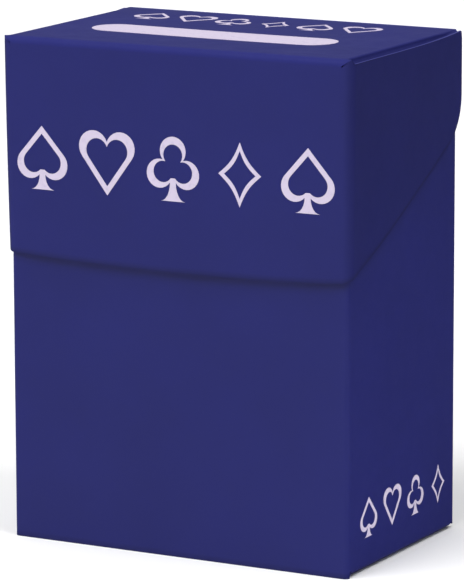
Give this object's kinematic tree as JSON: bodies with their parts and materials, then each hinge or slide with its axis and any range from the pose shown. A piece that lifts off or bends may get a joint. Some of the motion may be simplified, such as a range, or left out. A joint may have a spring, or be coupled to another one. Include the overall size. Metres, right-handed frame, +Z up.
{
  "type": "card deck box",
  "caption": "Flip-top box folded from plastic sheet, with a creased lid that locks under a front lip and a loose sliding divider, for holding a deck of sleeved cards.",
  "frame": {"origin": "middle of the closed box's footprint, on the surface it stands on", "axes": "+Z up, the front faces -Y, +X to the right seen from the front"},
  "size_m": [0.0732, 0.0462, 0.0961],
  "materials": {
    "blue_sheet": "satin polypropylene sheet with a fine grain",
    "divider_sheet": "satin polypropylene sheet",
    "pale_ink": "screen-printed ink film"
  },
  "bodies": {
    "body": {"back_panel": "blue_sheet", "right_side_panel": "blue_sheet", "left_side_panel": "blue_sheet", "front_panel": "blue_sheet", "front_lip": "blue_sheet", "bottom_panel": "blue_sheet", "bottom_glue_flap": "blue_sheet", "bottom_right_flap": "blue_sheet", "bottom_left_flap": "blue_sheet", "side_glue_flap": "blue_sheet", "lid_hinge_crease": "blue_sheet", "side_mark": "pale_ink"},
    "lid": {"lid_top_panel": "blue_sheet", "lid_front_panel": "blue_sheet", "lid_right_wing": "blue_sheet", "lid_left_wing": "blue_sheet", "lid_right_tab": "blue_sheet", "lid_left_tab": "blue_sheet", "lid_lock_hem": "blue_sheet", "front_print": "pale_ink", "label_bar": "pale_ink", "top_mark": "pale_ink"},
    "divider": {"deck_divider": "divider_sheet"}
  },
  "joints": [
    {"name": "lid_hinge", "type": "hinge", "parent": "body", "child": "lid", "pos_m": [0, 0.02305, 0.096], "axis": [-1, 0, 0], "range_deg": [0, 260]},
    {"name": "divider_slide", "type": "slide", "parent": "body", "child": "divider", "axis": [0, 1, 0], "range_m": [-0.0286, 0.0137]}
  ]
}
